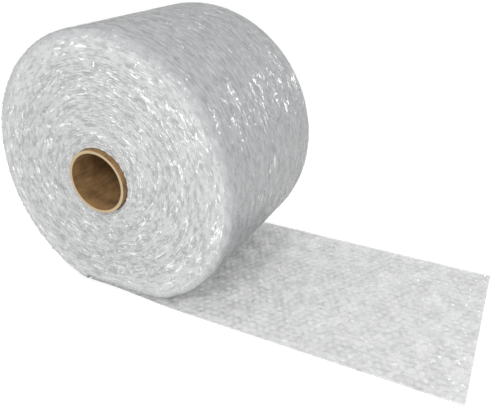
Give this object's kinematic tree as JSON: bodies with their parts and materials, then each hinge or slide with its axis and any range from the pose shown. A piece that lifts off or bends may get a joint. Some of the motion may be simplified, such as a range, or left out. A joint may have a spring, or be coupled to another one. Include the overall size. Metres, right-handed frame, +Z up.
{
  "type": "bubble wrap roll",
  "caption": "Roll of clear small-bubble wrap on a cardboard core, lying on its side with its free end unrolled along the floor.",
  "frame": {"origin": "on the floor under the middle of the wound roll, halfway between the two edges of the web", "axes": "+X toward the free end of the web, +Y along the core's axis toward the back end of the roll, +Z up"},
  "size_m": [0.6482, 0.3, 0.3633],
  "materials": {
    "kraft_cardboard": "matte",
    "polyethylene_film": "clear film, glossy"
  },
  "bodies": {
    "root": {"cardboard_core": "kraft_cardboard", "bubble_wrap": "polyethylene_film"}
  },
  "joints": []
}
